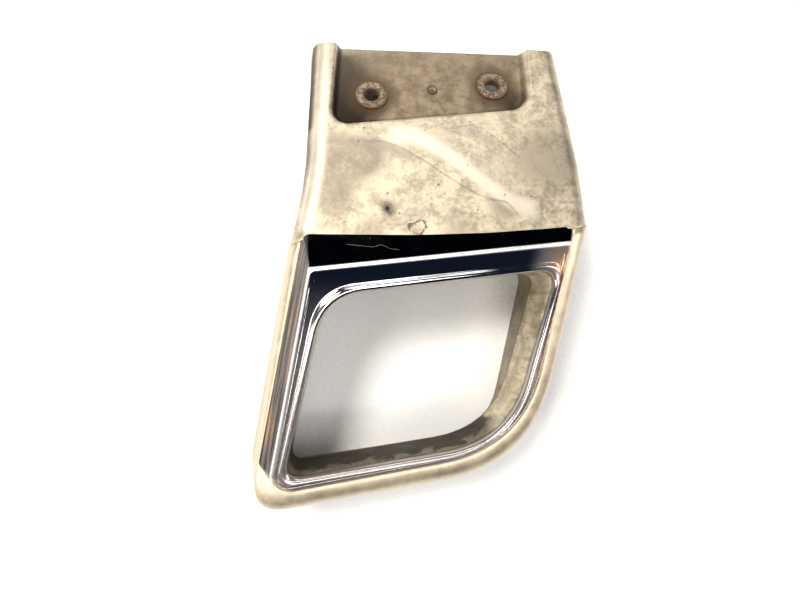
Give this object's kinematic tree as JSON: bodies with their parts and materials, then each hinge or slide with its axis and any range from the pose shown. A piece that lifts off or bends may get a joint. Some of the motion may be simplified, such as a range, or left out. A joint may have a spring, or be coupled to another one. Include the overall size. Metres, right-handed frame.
{
  "type": "exhaust finisher",
  "caption": "Slanted polished mouth frame on a folded sheet shell with an inner duct and a recessed flange that carries two threaded inserts.",
  "frame": {"origin": "Middle of the part's plan, in the plane of the rear rim that it lies on", "axes": "+Z points out of the mouth, away from the rear rim; +Y points towards the mounting flange; +X runs along the line of the two threaded inserts"},
  "size_m": [0.1755, 0.2148, 0.0642],
  "materials": {
    "satin_stainless": "satin pickled sheet with cream water stains and small dark pits",
    "polished_stainless": "mirror polished, fine hairline scratches",
    "heat_stained_steel": "tan heat stain with soot towards the bottom",
    "dull_steel": "dull grey-brown oxidised sheet",
    "rusty_zinc_steel": "pale plated steel flaking into orange rust",
    "burnt_weld": "dark heat-tinted weld spot"
  },
  "bodies": {
    "root": {"outer_shell": "satin_stainless", "mouth_bezel": "polished_stainless", "duct_liner": "heat_stained_steel", "rear_sleeve": "dull_steel", "rear_frame": "dull_steel", "doubler_plate": "dull_steel", "left_insert": "rusty_zinc_steel", "right_insert": "rusty_zinc_steel", "centre_plug_weld": "burnt_weld"}
  },
  "joints": []
}
